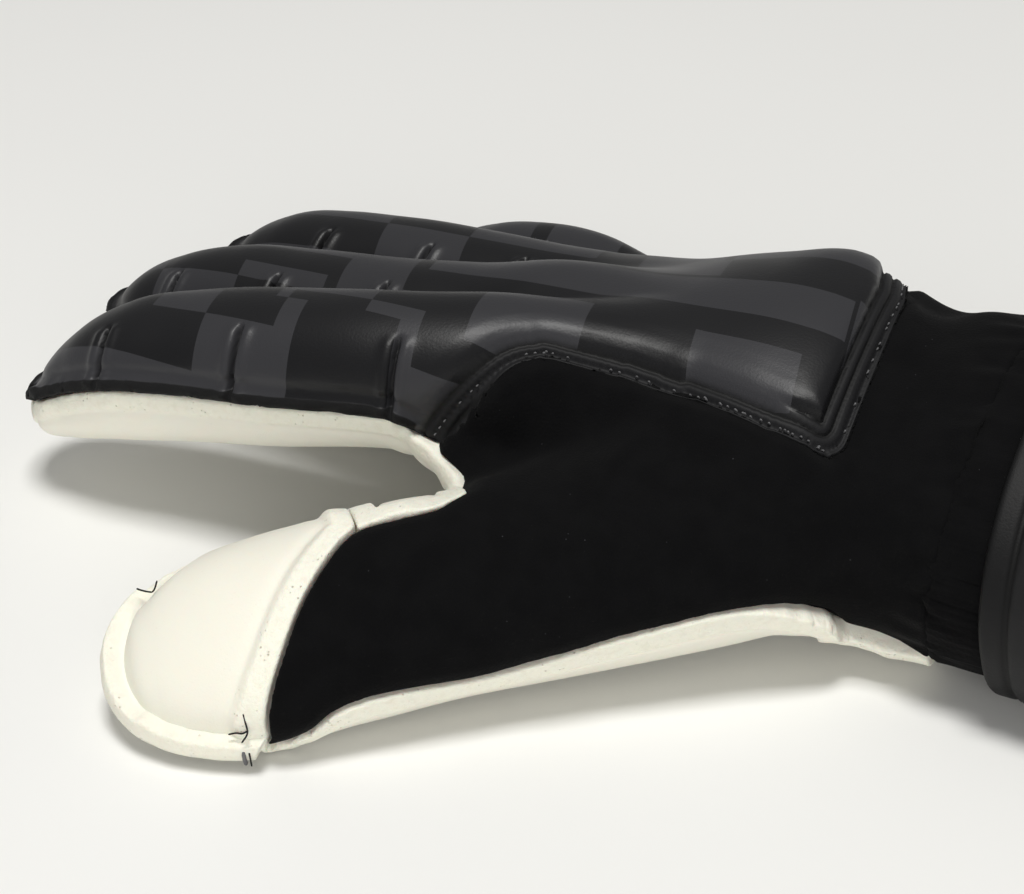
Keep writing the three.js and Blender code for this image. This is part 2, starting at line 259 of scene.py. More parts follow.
def makeSeamMap(step=1.0):
    low, x, y = planGrid(step)
    total, weights = 0, 0
    for digit in digits.values():
        for k in range(0, len(digit.at), 6):
            fine = {key: values[k] for key, values in digit.fine.items()}
            if fine["half"] < 1:
                continue
            c, n = math.cos(fine["roll"]), math.sin(fine["roll"])
            nearS = fine["across"] + fine["half"] * c - fine["seamNear"] * n
            nearZ = fine["z"] + fine["half"] * n + fine["seamNear"] * c
            farS = fine["across"] - fine["half"] * c - fine["seamFar"] * n
            farZ = fine["z"] - fine["half"] * n + fine["seamFar"] * c
            along = x * digit.heading[0] + y * digit.heading[1] - digit.at[k]
            s = x * digit.side[0] + y * digit.side[1]
            share = np.clip((s - farS) / (nearS - farS), -0.15, 1.15)
            off = np.maximum(np.maximum(s - nearS, farS - s), 0)
            weight = 1 / (along**2 + 4 * off**2 + 9) ** 2
            total = total + weight * (farZ + (nearZ - farZ) * share)
            weights = weights + weight
    return PlanMap(low, step, total / weights)


seamHeight = makeSeamMap()
print("seam surface worked out")


class Outline:
    # A closed line drawn from above with rounded corners, and the distance inside it
    def __init__(self, corners):
        points = []
        for k, (x, y, radius) in enumerate(corners):
            here = np.array([x, y], float)
            if radius == 0:
                points.append(here)
                continue
            before = np.array(corners[k - 1][:2], float)
            after = np.array(corners[(k + 1) % len(corners)][:2], float)
            start = here + (before - here) / np.linalg.norm(before - here) * radius
            end = here + (after - here) / np.linalg.norm(after - here) * radius
            for t in np.linspace(0, 1, 9):
                points.append((1 - t) ** 2 * start + 2 * t * (1 - t) * here + t**2 * end)
        self.points = np.array(points + points[:1])

    def distance(self, x, y):
        best, winding = None, 0
        for (ax, ay), (bx, by) in zip(self.points[:-1], self.points[1:]):
            length = max((bx - ax) ** 2 + (by - ay) ** 2, 1e-9)
            t = np.clip(((x - ax) * (bx - ax) + (y - ay) * (by - ay)) / length, 0, 1)
            d = np.hypot(x - ax - t * (bx - ax), y - ay - t * (by - ay))
            best = d if best is None else np.minimum(best, d)
            crosses = (ay <= y) != (by <= y)
            atX = ax + (y - ay) * (bx - ax) / (by - ay if abs(by - ay) > 1e-9 else 1e-9)
            winding = winding + (crosses & (x < atX))
        return np.where(winding % 2 == 1, best, -best)

    def map(self, step=1.0):
        low, x, y = planGrid(step)
        return PlanMap(low, step, self.distance(x + 0 * y, y + 0 * x))


# Surface nets: a vertex in every grid cell that the surface passes through
def surfaceNet(values, low, step):
    inside = values < 0
    cells = tuple(n - 1 for n in values.shape)
    corners = [(i, j, k) for i in (0, 1) for j in (0, 1) for k in (0, 1)]
    count = np.zeros(cells, np.int8)
    for i, j, k in corners:
        count += inside[i:i + cells[0], j:j + cells[1], k:k + cells[2]]
    active = (count > 0) & (count < 8)
    where = np.argwhere(active)
    index = np.full(cells, -1, np.int32)
    index[active] = np.arange(len(where))
    total, hits = np.zeros((len(where), 3)), np.zeros(len(where))
    for a in corners:
        for axis in range(3):
            if a[axis] == 1:
                continue
            b = list(a)
            b[axis] = 1
            va = values[tuple((where + a).T)]
            vb = values[tuple((where + b).T)]
            cut = (va < 0) != (vb < 0)
            share = va[cut] / (va[cut] - vb[cut])
            total[cut] += np.array(a) + share[:, None] * (np.array(b) - np.array(a))
            hits[cut] += 1
    points = (where + total / hits[:, None]) * step + low
    faces = []
    for axis in range(3):
        u, v = (axis + 1) % 3, (axis + 2) % 3
        inner = [slice(1, -1)] * 3
        inner[axis] = slice(0, -1)
        ahead = list(inner)
        ahead[axis] = slice(1, None)
        first, second = inside[tuple(inner)], inside[tuple(ahead)]
        edges = np.argwhere(first != second)
        offset = np.ones(3, int)
        offset[axis] = 0
        base = edges + offset
        around = []
        for du, dv in ((-1, -1), (0, -1), (0, 0), (-1, 0)):
            cell = base.copy()
            cell[:, u] += du
            cell[:, v] += dv
            around.append(index[tuple(cell.T)])
        quad = np.stack(around, 1)
        flip = ~first[tuple(edges.T)]
        quad[flip] = quad[flip][:, ::-1]
        faces.append(quad)
    return points, np.concatenate(faces)


def gradient(field, points, reach=0.25):
    out = np.empty_like(points)
    for axis in range(3):
        step = np.zeros(3)
        step[axis] = reach
        out[:, axis] = field(*(points + step).T) - field(*(points - step).T)
    return out / (2 * reach)


def settle(field, points, most):
    # Moves every vertex onto the exact surface, by no more than one distance at a time
    for _ in range(3):
        f = field(*points.T)
        slope = gradient(field, points)
        size = np.maximum((slope**2).sum(1), 0.2)
        move = -(f / size)[:, None] * slope
        length = np.linalg.norm(move, axis=1, keepdims=True)
        points = points + move * np.minimum(1, most / np.maximum(length, 1e-9))
    return points


def splitQuads(points, quads, others, chosen):
    # Splits the chosen quads in four, and gives their neighbours the new points on shared edges
    ends = np.stack([quads, np.roll(quads, -1, axis=1)], 2)
    low, high = ends.min(2).astype(np.int64), ends.max(2).astype(np.int64)
    code = low * len(points) + high
    wanted = np.unique(code[chosen])
    middles = (points[wanted // len(points)] + points[wanted % len(points)]) / 2
    centres = points[quads[chosen]].mean(1)
    middleAt = np.searchsorted(wanted, code[chosen]) + len(points)
    centreAt = len(points) + len(wanted) + np.arange(len(centres))
    q = quads[chosen]
    small = [np.stack([q[:, i], middleAt[:, i], centreAt, middleAt[:, i - 1]], 1) for i in range(4)]
    known = {int(c): len(points) + k for k, c in enumerate(wanted)}
    kept, keptCode = quads[~chosen], code[~chosen]
    touched = np.isin(keptCode, wanted).any(1)
    loops = []
    for loop in kept[touched].tolist() + others:
        longer = []
        for a, b in zip(loop, loop[1:] + loop[:1]):
            longer.append(a)
            middle = known.get(min(a, b) * len(points) + max(a, b))
            if middle is not None:
                longer.append(middle)
        loops.append(longer)
    return np.vstack([points, middles, centres]), np.concatenate([kept[~touched]] + small), loops


def netPiece(field, low, high, step, finer=()):
    # A piece's surface: coarse first, then split where each test in finer asks for it
    axes = [np.arange(low[k], high[k] + step, step, dtype=np.float32) for k in range(3)]
    values = np.empty([len(a) for a in axes], np.float32)
    y, z = axes[1][None, :, None], axes[2][None, None, :]
    for start in range(0, len(axes[0]), 32):
        x = axes[0][start:start + 32][:, None, None]
        values[start:start + 32] = field(x, y, z)
    points, quads = surfaceNet(values, np.array(low, float), step)
    points = settle(field, points, 0.5 * step)
    others = []
    for test in finer:
        step = step / 2
        chosen = test(points)[quads].any(1)
        points, quads, others = splitQuads(points, quads, others, chosen)
        points = settle(field, points, 0.5 * step)
    return points, quads.tolist() + others


def makeMesh(name, points, faces, attributes=None):
    placed = (points + knucklesToOrigin) * metre
    mesh = bpy.data.meshes.new(name)
    mesh.from_pydata(placed.tolist(), [], faces)
    for key, values in (attributes or {}).items():
        layer = mesh.attributes.new(key, "FLOAT", "POINT")
        layer.data.foreach_set("value", np.asarray(values, np.float32))
    mesh.polygons.foreach_set("use_smooth", [True] * len(mesh.polygons))
    mesh.update()
    piece = bpy.data.objects.new(name, mesh)
    bpy.context.scene.collection.objects.link(piece)
    return piece


def waves(x, y, z, seed, size):
    # Soft unevenness of about one unit, from a few crossed waves
    local = np.random.default_rng(seed)
    total = 0
    for _ in range(7):
        direction = local.normal(size=3)
        direction /= np.linalg.norm(direction)
        scale = size * local.uniform(0.6, 1.7)
        total = total + np.sin((x * direction[0] + y * direction[1] + z * direction[2]) / scale * 2 * math.pi
                               + local.uniform(0, 6.28)) * local.uniform(0.5, 1)
    return total / 3


def bell(value, width):
    return np.exp(-(value / width) ** 2)


# Two lines drawn from above: the cap over the thumb's end, and the foam strip that wraps over the web
capCorners = [(-14, -66, 0), (3, -83, 0), (8.6, -88.9, 1), (12.2, -92.6, 1), (11.3, -96, 4), (10, -104, 8),
              (11, -122, 6), (7, -142, 0), (-160, -142, 0), (-160, -110, 0)]
webCorners = [(14, -64.5, 0), (17.8, -66.2, 1), (22.8, -72, 2), (25.6, -75.6, 0.6), (24.7, -78.5, 1),
              (24, -80.9, 1), (23.2, -82.8, 1), (21.1, -84.7, 1), (18.9, -86.3, 1), (15.2, -89.6, 1),
              (12.2, -92.6, 0.5), (8.6, -88.9, 1), (3, -83, 0), (-6, -72, 0)]
capMap = Outline(capCorners).map(0.5)
webInside = Outline(webCorners).map(0.5)
# The fabric's corner beside the cap dips below the seam
fabricDip = {"depth": 6.0, "run": 9.0, "from": (-108, -114)}


def capInside(x, y, z):
    # The cap's edge leans towards the tip where the thumb curves under
    return capMap(x + 0.5 * np.clip(7 - z, 0, 6), y)


def seamDistance(x, y, z):
    # How far a point lies above the seam between palm and back
    above = (z - seamHeight(x, y)) * 0.9
    away = -capInside(x, y, z)
    dip = np.clip(1 - away / fabricDip["run"], 0, 1) * np.clip(away / 0.6 + 0.5, 0, 1)
    dip = dip * smoothStep(*fabricDip["from"], y)
    return smoothMin(above + 0.9 * fabricDip["depth"] * dip, -webInside(x, y), 0.6)


def thumbShare(x, y, z):
    onFingers = np.minimum(fingers[0].field(x, y, z), fingers[1].field(x, y, z))
    return smoothStep(5, -5, thumb.field(x, y, z) - onFingers)


def outwardNormals(points, reach=1.2):
    normal = gradient(gloveField, points, reach)
    return normal / np.maximum(np.linalg.norm(normal, axis=1, keepdims=True), 1e-6)


# The camera stands where the photograph was taken from
cameraSettings = {
    "azimuth": 28.31,
    "elevation": 31.0,
    "distance": 449.7,
    "lens": 78.81,
    "target": (15.66, -39.96, 24.98),
}


def toFrame(point):
    return Vector((np.array(point, float) + knucklesToOrigin) * metre)


def makeCamera():
    c = cameraSettings
    azimuth, elevation = math.radians(c["azimuth"]), math.radians(c["elevation"])
    away = Vector((math.sin(azimuth) * math.cos(elevation), -math.cos(azimuth) * math.cos(elevation),
                   math.sin(elevation)))
    data = bpy.data.cameras.new("camera")
    data.sensor_fit = "HORIZONTAL"
    data.sensor_width = 36
    data.lens = c["lens"]
    data.clip_start = 0.01
    camera = bpy.data.objects.new("camera", data)
    bpy.context.scene.collection.objects.link(camera)
    camera.location = toFrame(c["target"]) + away * c["distance"] * metre
    camera.rotation_euler = away.to_track_quat("Z", "Y").to_euler()
    bpy.context.scene.camera = camera


makeCamera()


# Shader maths: a value is an output socket, and its operators add Math nodes
class Value:
    def __init__(self, graph, socket):
        self.graph, self.socket = graph, socket

    def math(self, operation, *others):
        inputs = dict(enumerate((self,) + others))
        return self.graph.node("Math", {"operation": operation}, inputs)

    def __add__(self, other):
        return self.math("ADD", other)

    def __radd__(self, other):
        return self.math("ADD", other)

    def __sub__(self, other):
        return self.math("SUBTRACT", other)

    def __rsub__(self, other):
        return self.graph.node("Math", {"operation": "SUBTRACT"}, {0: other, 1: self})

    def __mul__(self, other):
        return self.math("MULTIPLY", other)

    def __rmul__(self, other):
        return self.math("MULTIPLY", other)

    def __truediv__(self, other):
        return self.math("DIVIDE", other)

    def __gt__(self, other):
        return self.math("GREATER_THAN", other)

    def absolute(self):
        return self.math("ABSOLUTE")

    def smooth(self, low, high):
        settings = {"interpolation_type": "SMOOTHSTEP"}
        return self.graph.node("MapRange", settings, {"Value": self, "From Min": low, "From Max": high})


class Finish:
    # One material and its nodes
    def __init__(self, name, **constants):
        self.material = bpy.data.materials.new(name)
        self.material.use_nodes = True
        self.tree = self.material.node_tree
        self.tree.nodes.clear()
        self.shader = self.tree.nodes.new("ShaderNodeBsdfPrincipled")
        output = self.tree.nodes.new("ShaderNodeOutputMaterial")
        self.tree.links.new(self.shader.outputs["BSDF"], output.inputs["Surface"])
        for key, value in constants.items():
            self.shader.inputs[key.replace("_", " ")].default_value = value
        self.place = self.node("TexCoord", output="Object")

    def node(self, kind, settings=None, inputs=None, output=0):
        made = self.tree.nodes.new("ShaderNode" + kind)
        for key, value in (settings or {}).items():
            setattr(made, key, value)
        for key, value in (inputs or {}).items():
            if isinstance(value, Value):
                self.tree.links.new(value.socket, made.inputs[key])
            else:
                made.inputs[key].default_value = value
        return Value(self, made.outputs[output])

    def noise(self, size, detail=2, roughness=0.5):
        # Size is the distance between bumps, in millimetres
        inputs = {"Vector": self.place, "Scale": 1 / (size * metre), "Detail": detail,
                  "Roughness": roughness}
        return self.node("TexNoise", inputs=inputs)

    def dots(self, size):
        inputs = {"Vector": self.place, "Scale": 1 / (size * metre)}
        return self.node("TexVoronoi", inputs=inputs)

    def attribute(self, name):
        return self.node("Attribute", {"attribute_name": name}, output="Fac")

    def mix(self, share, a, b):
        settings = {"data_type": "RGBA"}
        made = self.node("Mix", settings, output=2)
        for key, value in ((0, share), (6, a), (7, b)):
            socket = made.socket.node.inputs[key]
            if isinstance(value, Value):
                self.tree.links.new(value.socket, socket)
            else:
                socket.default_value = value
        return made

    def feed(self, key, value):
        self.tree.links.new(value.socket, self.shader.inputs[key])

    def bump(self, height, distance, strength=1.0):
        # Distance is how high a height of one stands, in millimetres
        inputs = {"Height": height, "Distance": distance * metre, "Strength": strength}
        self.feed("Normal", self.node("Bump", inputs=inputs))

    def onto(self, *pieces):
        for piece in pieces:
            piece.data.materials.clear()
            piece.data.materials.append(self.material)


def shade(red, green, blue):
    # A screen colour of 0 to 255 as linear light
    linear = [((v / 255 + 0.055) / 1.055) ** 2.4 if v > 10 else v / 255 / 12.92 for v in (red, green, blue)]
    return (*linear, 1)


# The moulded back: its outline, the sewn border round the hand and the flex slots of the fingers
panelSettings = {
    "mesh": 1.55,          # the widest mesh, halved on the outside and again where the relief is
    "wall": 4.9,
    "corners": [(-130, -78, 0), (2, -66, 3), (7, -61, 3), (16, -56, 4), (23, -46.6, 6), (36, -42.4, 12),
                (52, -41.4, 12), (62, -43, 10), (70, -43.9, 8), (78, -43.6, 6), (84.6, -41.4, 5),
                (83.6, -29, 10), (82.2, -13, 10), (79.9, 4, 0), (72, 30, 0), (66, 90, 0), (-130, 90, 0)],
    # How far the border stands out, by the distance from the outline: flange, groove, band, groove, body
    "border": [(0, -2.1), (0.3, -1.4), (1.0, -1.15), (1.9, -1.2), (2.25, -1.8), (2.5, -1.8), (2.9, -1.2),
               (3.6, -1.0), (4.3, -1.2), (4.7, -1.95), (5.0, -1.95), (5.5, -0.9), (6.4, -0.1), (8, 0.35),
               (12, 0.6), (20, 0.6)],
    # The same along the thumb side, where it is narrower and has one groove
    "nearBorder": [(0, -2.2), (0.5, -1.8), (1.2, -1.5), (1.7, -1.6), (2.1, -2.0), (2.4, -2.0), (3.4, -1.4),
                   (4.8, -0.5), (6.5, 0.2), (9, 0.6), (20, 0.6)],
    # Plump places: the middle, its size and its height
    "plump": [(79, -35, 44, 6, 1.7), (66, 12, 54, 12, 0.8)],
    "lipWidth": 2.4,
    "lipRise": 0.9,
    "tipLip": 1.0,
    "slotDepth": 1.6,
    "slotWidth": 0.55,
    "slotRim": 0.5,
    # Each flex slot's station along its finger, and how far round the side it starts
    "slots": {"index": [(78, 0.43), (47, 0.55), (13, 0.66)],
              "middle": [(77, 0.4), (51.5, 0.45), (25.4, 0.45)],
              "ring": [(60.5, 0.4), (33, 0.45), (9.3, 0.45)], "little": [(26.5, 0.4)]},
    "blockLength": 31.0,
    "blockWidth": 13.5,
    "light": (49, 49, 52),
    "dark": (20, 20, 22),
    "roughness": 0.42,
}
panelOutline = Outline(panelSettings["corners"])
panelInside = panelOutline.map()


def edgeOnSurface(outline, keep):
    # The outline's points on the glove's upper surface, about a millimetre apart
    edge = outline[keep(outline[:, 0], outline[:, 1])]
    dense = []
    for a, b in zip(edge[:-1], edge[1:]):
        count = max(int(np.linalg.norm(b - a)), 1)
        dense += [a + (b - a) * t / count for t in range(count)]
    dense = np.array(dense + [edge[-1]])
    column = np.arange(62, 4, -0.4)
    edge = []
    for px, py in dense:
        f = gloveField(np.full(len(column), px), np.full(len(column), py), column)
        first = np.argmax(f < 0)
        if first > 0:
            share = f[first - 1] / (f[first - 1] - f[first])
            edge.append((px, py, column[first - 1] - 0.4 * share))
    edge = np.array(edge)
    for _ in range(3):
        edge[1:-1] = (edge[:-2] + edge[1:-1] * 2 + edge[2:]) / 4
    return edge


panelRim = edgeOnSurface(panelOutline.points, lambda x, y: (x > -6) & (y < 62))


def distanceToLine(points, line, most=30):
    # The nearest point of a line of close points, for every vertex within a box round it
    near = np.full(len(points), float(most))
    low, high = line.min(0) - most, line.max(0) + most
    close = np.flatnonzero(((points > low) & (points < high)).all(1))
    for start in range(0, len(close), 8000):
        some = close[start:start + 8000]
        apart = np.linalg.norm(points[some][:, None, :] - line[None, :, :], axis=2)
        near[some] = np.minimum(apart.min(1), most)
    return near


def panelField(x, y, z):
    f = gloveField(x, y, z)
    shell = smoothMax(f, -(f + panelSettings["wall"]), 0.8)
    cut = smoothMax(0.15 - seamDistance(x, y, z), -panelInside(x, y) * 0.85, 1.0)
    return smoothMax(shell, cut, 1.1)


def slotShape(x, y, z):
    # How deep each point lies in a slot's groove, and in the bulge beside it
    p = panelSettings
    groove, bulge = np.zeros(len(x)), np.zeros(len(x))
    for name, stations in p["slots"].items():
        t, u, v, read = digits[name].local(x, y, z)
        half, height = np.maximum(read("half"), 0.5), np.maximum(read("top"), 0.5)
        mine = (np.hypot(u / half, v / height) < 1.15) & (x < 8) & (v > -3)
        for station, upperEnd in stations:
            away = t - station + 0.004 * (v - 4) ** 2
            # The side away from the thumb has shorter slots
            start = np.where(u > 0, upperEnd, upperEnd + 0.3)
            reach = smoothStep(start - 0.04, start + 0.12, np.abs(u) / half) * mine
            groove = np.maximum(groove, np.exp(-(np.abs(away) / p["slotWidth"]) ** 3) * reach)
            bulge = np.maximum(bulge, bell(np.abs(away) - 1.9, 1.1) * reach)
    return groove, bulge


def makePanel():
    p = panelSettings

    def outside(points):
        return gloveField(*points.T) > -2.2

    def detailed(points):
        x, y, z = points.T
        groove, bulge = slotShape(x, y, z)
        rim = distanceToLine(points, panelRim, 12) < 4.5
        return outside(points) & ((groove + bulge > 0.4) | rim)

    points, faces = netPiece(panelField, (-99.5, -70, 8), (85, 60, 62), p["mesh"], (outside, detailed))
    x, y, z = points.T
    outer = smoothStep(-1.6, -0.5, gloveField(x, y, z))
    normal = outwardNormals(points)
    above = seamDistance(x, y, z)
    nearSide = smoothStep(80, 70, x) * smoothStep(-30, -38, y)
    border = distanceToLine(points, panelRim)
    wide, narrow = (np.interp(border, *np.array(p[key]).T) for key in ("border", "nearBorder"))
    lift = wide + (narrow - wide) * nearSide
    for px, py, pz, size, height in p["plump"]:
        apart = np.sqrt((x - px) ** 2 + (y - py) ** 2 + (z - pz) ** 2)
        lift += height * bell(apart, size) * smoothStep(3, 7, border)
    groove, bulge = slotShape(x, y, z)
    clear = smoothStep(0.2, 2.0, above)
    lift += (p["slotRim"] * bulge - p["slotDepth"] * groove) * clear
    free = smoothStep(3, 5, border)
    lip = 1 - smoothStep(p["lipWidth"] * 0.7, p["lipWidth"] * 1.25, above)
    tips = np.clip(-normal[:, 0], 0, 1) ** 2
    lift += (lip * (p["lipRise"] + p["tipLip"] * tips) - 0.4 * bell(above - p["lipWidth"] * 1.7, 0.7)) * free
    lift += lip * free * 0.16 * waves(x, y, z, 4, 3)
    lift += 0.22 * waves(x, y, z, 3, 34)
    # Painted shade: the border's grooves are darkened in colour as well as cut into the relief
    wideGrooveShade = np.maximum(bell(border - 2.37, 0.45), bell(border - 4.95, 0.6))
    grooveShade = wideGrooveShade + (bell(border - 2.5, 0.8) - wideGrooveShade) * nearSide
    body = np.clip(border - 5.3 + 2.6 * nearSide + 0.5, 0, 1)
    marks = {"body": body, "groove": np.maximum(groove * clear, grooveShade), "outer": outer,
             "lip": lip * free, "along": x + 0.22 * y, "around": y + 0.6 * z}
    return makeMesh("backPanel", points + normal * (lift * outer)[:, None], faces, marks)


def panelFinish():
    p = panelSettings
    m = Finish("moulded back", Roughness=p["roughness"], Specular_IOR_Level=0.34)
    along, around = m.attribute("along"), m.attribute("around")

    def blocks(length, width, seed):
        place = m.node("CombineXYZ", inputs={0: along / length + seed, 1: around / width + seed * 3.7})
        settings = {"offset": 0.37, "offset_frequency": 2, "squash": 1.5, "squash_frequency": 3}
        inputs = {"Vector": place, "Scale": 1.0, "Mortar Size": 0.0, "Brick Width": 1.0, "Row Height": 1.0,
                  "Color1": (0, 0, 0, 1), "Color2": (1, 1, 1, 1), "Bias": 0.0}
        return m.node("TexBrick", settings, inputs) > 0.5

    first = blocks(p["blockLength"], p["blockWidth"], 0.3)
    second = blocks(p["blockLength"] * 0.7, p["blockWidth"] * 1.7, 5.63)
    tone = (first - second).absolute()
    printed = m.attribute("outer") * m.attribute("body").smooth(0.45, 0.55)
    grain = m.noise(0.5, 3)
    soft = m.noise(22, 2)
    lip = m.attribute("lip").smooth(0.3, 0.6)
    colour = m.mix(tone * printed, shade(*p["dark"]), shade(*p["light"]))
    # Painted shade: the flex slots and the border grooves are darkened towards near black
    colour = m.mix(m.attribute("groove") * 0.8, colour, shade(8, 8, 8))
    colour = m.mix(lip, colour, shade(14, 14, 15))
    m.feed("Base Color", colour)
    border = 1 - m.attribute("body")
    m.feed("Roughness", soft * 0.16 + lip * 0.4 + border * 0.22 + (p["roughness"] - 0.08))
    m.bump(grain * 0.7 + m.noise(1.6, 2) * 0.3 + lip * m.noise(0.6, 4, 0.7) * 3, 0.05)
    return m


backPanel = makePanel()
panelFinish().onto(backPanel)
print("back panel made", len(backPanel.data.polygons))


# The foam palm: a bare cut edge runs along its seam, widest round the thumb
palmSettings = {
    "mesh": 1.4,           # the widest mesh, halved within the first of these below the seam
    "fine": (14, 6.4),     # and again at the bands, within the second
    "wall": 5.0,
    "end": 107.0,
    "bandWidth": 4.8,
    "bandRise": 0.75,
    "tipRise": 0.9,
    "tipNearRise": 1.0,
    "rimStart": 88.5,      # where the rim begins on the thumb's far side, along the thumb
    "crotch": (25, -76),   # where the bare edges of thumb and index finger meet
    "heelRise": 2.2,
    "creaseDepth": 0.7,
    "face": (236, 234, 222),
    "cutEdge": (240, 238, 224),
    # Painted shade for the pores' pits
    "poreShade": (196, 190, 172),
}


def palmField(x, y, z):
    f = gloveField(x, y, z)
    lying = smoothMax(f, 0.02 - z, 1.2)
    shell = smoothMax(lying, -(f + palmSettings["wall"]), 0.8)
    cut = smoothMax(seamDistance(x, y, z) + 0.15, x - palmSettings["end"], 1.2)
    return smoothMax(shell, cut, 0.45)


def makePalm():
    p = palmSettings

    def outside(points):
        below = -seamDistance(*points.T)
        return (gloveField(*points.T) > -2.2) & (points[:, 2] > 0.4) & (below < p["fine"][0])

    def atBand(points):
        below = -seamDistance(*points.T)
        onBand = (thumbShare(*points.T) > 0.3) | (points[:, 0] > 55)
        return outside(points) & (below < p["fine"][1]) & onBand

    points, faces = netPiece(palmField, (-99.5, -132, -1.5), (108.5, 60, 42), p["mesh"], (outside, atBand))
    x, y, z = points.T
    outer = smoothStep(-1.2, -0.35, gloveField(x, y, z)) * smoothStep(0.1, 1.2, z)
    normal = outwardNormals(points)
    below = -seamDistance(x, y, z)
    onThumb = thumbShare(x, y, z)
    t, u, _, _ = thumb.local(x, y, z)
    onNear, onFar = smoothStep(0.2, 1.2, capInside(x, y, z)), smoothStep(-0.8, 0.8, t - p["rimStart"])
    tip = np.where(u > 0, onNear, onFar) * onThumb
    width = p["bandWidth"] * (0.8 + 0.2 * onThumb)
    band = 1 - smoothStep(width - 0.5, width + 0.5, below)
    leaning = np.clip(-normal[:, 1], 0, 1)
    fold = smoothStep(3, 14, np.hypot(x - p["crotch"][0], y - p["crotch"][1]))
    farBand = smoothStep(-84, -95, y) * (u < 0) * (tip < 0.5)
    rise = p["bandRise"] * (0.35 + 0.65 * onThumb) * fold * (1 - 0.7 * farBand)
    lift = band * (rise + tip * (p["tipRise"] + p["tipNearRise"] * leaning))
    lift -= p["creaseDepth"] * bell(below - width - 0.6, 0.7) * (0.3 + 0.7 * onThumb) * fold
    heel = smoothStep(74, 92, x) * smoothStep(-14, -26, y) * (1 - smoothStep(8, 12, below))
    heelRise = p["heelRise"] * (1 - 0.65 * smoothStep(98, 106, x))
    lift += heel * (heelRise + 0.7 * waves(x, y, z, 11, 9) * smoothStep(86, 93, x))
    lift += (1 - 0.8 * tip) * (0.2 * waves(x, y, z, 5, 26) + band * 0.1 * waves(x, y, z, 6, 5))
    return makeMesh("palmLatex", points + normal * (lift * outer)[:, None], faces, {"band": band * outer})


def latexFinish(name):
    p = palmSettings
    m = Finish(name, Roughness=0.6, Specular_IOR_Level=0.35, Subsurface_Weight=0.12, Subsurface_Scale=0.004)
    band = m.attribute("band")
    pores = m.dots(1.1).smooth(0.22, 0.06) * m.noise(5, 2).smooth(0.52, 0.62)
    soft = m.noise(16, 3)
    face = m.mix(soft * 0.35, shade(*p["face"]), shade(228, 222, 206))
    edge = m.mix(m.noise(1.4, 3).smooth(0.45, 0.75) * 0.3, shade(*p["cutEdge"]), shade(222, 216, 198))
    colour = m.mix(band, face, edge)
    # Painted shade: the pores are darkened in their pits, most on the bare cut edge
    colour = m.mix(pores * (band * 0.7 + 0.12), colour, shade(*p["poreShade"]))
    m.feed("Base Color", colour)
    m.feed("Roughness", band * 0.22 + soft * 0.1 + 0.5)
    crumb = m.noise(0.9, 4, 0.65) * band + m.noise(0.35, 2) * 0.2
    m.bump(crumb - pores * band * 0.8, 0.28)
    return m


palmLatex = makePalm()
latex = latexFinish("palm foam")
latex.onto(palmLatex)
print("palm made", len(palmLatex.data.polygons))


# The cap over the thumb's end, and the padded fabric behind it
capSettings = {
    "wall": 5.0,
    "tuck": 1.0,           # how far the cap runs down behind the palm's rim
    "bandWidth": 4.6,
    "bandRise": 1.0,
    "inset": 0.5,
    "tipInset": 1.6,
    "fold": (6.5, -90.5, 34, 6, 1.1),
}


def capField(x, y, z):
    f = gloveField(x, y, z)
    shell = smoothMax(f, -(f + capSettings["wall"]), 0.8)
    cut = smoothMax(-capSettings["tuck"] - seamDistance(x, y, z), 0.15 - capInside(x, y, z) * 0.9, 0.6)
    return smoothMax(shell, cut, 0.5)


def makeCap():
    p = capSettings

    def outside(points):
        return gloveField(*points.T) > -2.2

    points, faces = netPiece(capField, (-29, -132, 4), (16, -66, 40), 1.1, (outside, outside))
    x, y, z = points.T
    outer = smoothStep(-1.4, -0.35, gloveField(x, y, z))
    normal = outwardNormals(points)
    inside = capInside(x, y, z)
    band = 1 - smoothStep(p["bandWidth"] - 1.2, p["bandWidth"] + 1.2, inside)
    above = seamDistance(x, y, z)
    lift = p["bandRise"] * band - 0.2 * bell(inside - p["bandWidth"] - 1.4, 1.2)
    fx, fy, fz, size, height = p["fold"]
    lift += height * bell(np.sqrt((x - fx) ** 2 + (y - fy) ** 2 + (z - fz) ** 2), size)
    facing = np.clip(-normal[:, 0], 0, 1)
    lift -= (p["inset"] * smoothStep(-91, -97, y) + p["tipInset"] * facing) * (1 - smoothStep(0.2, 5, above))
    lift += 0.12 * waves(x, y, z, 21, 18) + band * 0.1 * waves(x, y, z, 22, 4)
    return makeMesh("thumbCap", points + normal * (lift * outer)[:, None], faces, {"band": band * outer})


thumbCap = makeCap()
latex.onto(thumbCap)
print("thumb cap made", len(thumbCap.data.polygons))

fabricSettings = {
    "wall": 3.0,
    "end": 107.0,
    # Soft hollows: the middle, its size and its depth
    "hollows": [(22.9, -58.2, 36, 9, 1.6), (37.6, -61.9, 41.1, 11, 1.8), (92.7, -52.9, 24.4, 12, 1.6),
                (82, 13, 51, 9, 3.2)],
    "colour": (8, 8, 9),
    "lint": (60, 60, 63),
}


def fabricField(x, y, z):
    f = gloveField(x, y, z)
    shell = smoothMax(f, -(f + fabricSettings["wall"]), 0.6)
    # The inner layer runs on a little under the back panel and the cap
    beyond = smoothMax(panelInside(x, y) * 0.85, capInside(x, y, z) * 0.9, 0.5) + 0.3
    beyond = beyond - 1.8 * smoothStep(-2.1, -2.5, f)
    ragged = 0.5 * waves(x, y, z, 34, 6)
    cut = smoothMax(0.15 - seamDistance(x, y, z), x - fabricSettings["end"] + ragged, 0.8)
    return smoothMax(shell, smoothMax(cut, beyond, 0.8), 0.9)


